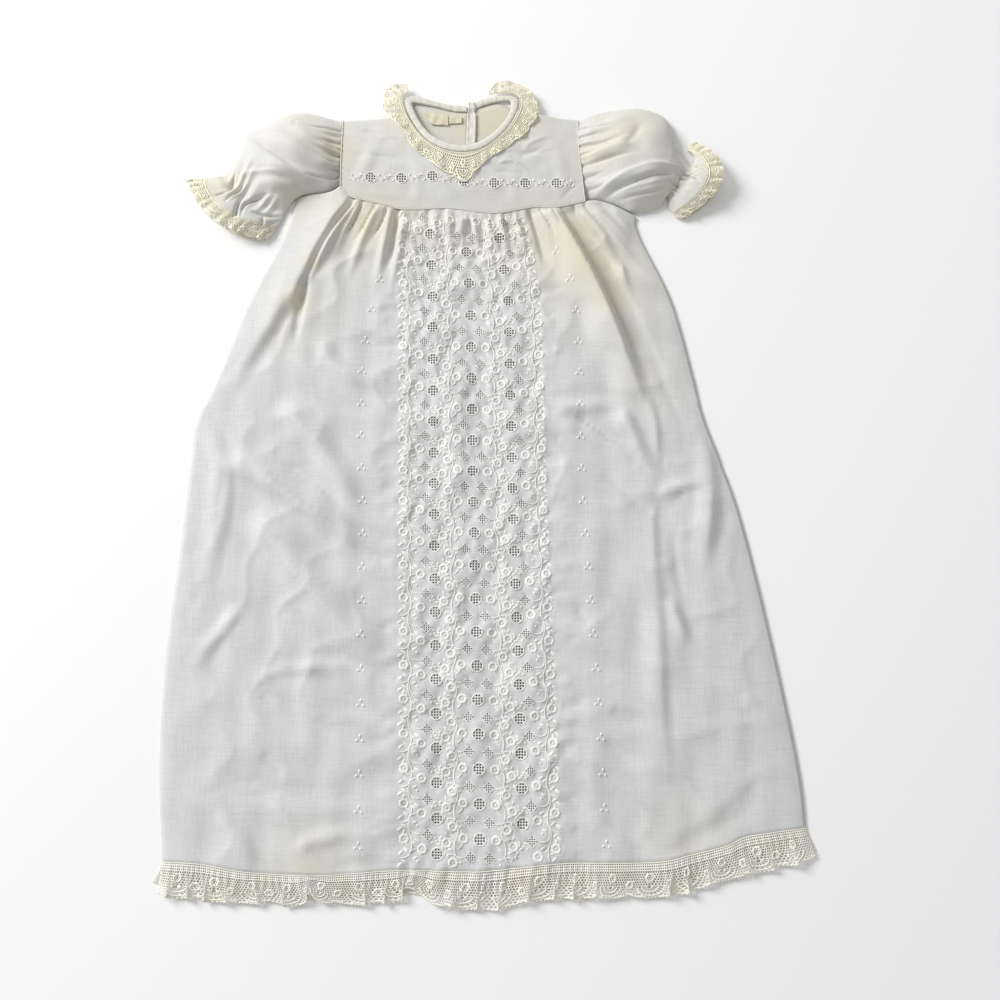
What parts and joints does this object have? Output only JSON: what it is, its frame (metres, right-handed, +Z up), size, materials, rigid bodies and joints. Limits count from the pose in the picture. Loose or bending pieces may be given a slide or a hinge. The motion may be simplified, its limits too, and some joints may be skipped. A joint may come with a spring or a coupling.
{
  "type": "christening gown",
  "caption": "Short-sleeved christening gown laid flat on its back: gathered embroidered skirt, eyelet yoke, puff sleeves and lace at neck, cuffs and hem.",
  "frame": {"origin": "on the surface under the middle of the gown's box", "axes": "+X to the right in the front view, +Y from the hem to the neck, +Z up from the back of the gown to its front"},
  "size_m": [0.4952, 0.6636, 0.0223],
  "materials": {
    "lawn": "fine white cotton lawn with white embroidery, yellowed a little at the seams",
    "cream_lace": "gathered cream bobbin-look lace",
    "label_tape": "bare woven ivory tape",
    "pearl_button": "small white button"
  },
  "bodies": {
    "root": {"skirt_front": "lawn", "skirt_back": "lawn", "yoke_front": "lawn", "yoke_back_left": "lawn", "yoke_back_right": "lawn", "back_placket": "lawn", "neck_binding": "lawn", "sleeve_left": "lawn", "sleeve_right": "lawn", "neck_lace": "cream_lace", "cuff_lace_left": "cream_lace", "cuff_lace_right": "cream_lace", "hem_lace_front": "cream_lace", "hem_lace_back": "cream_lace", "label_main": "label_tape", "label_size": "label_tape", "button_1": "pearl_button", "button_2": "pearl_button", "button_3": "pearl_button"}
  },
  "joints": []
}
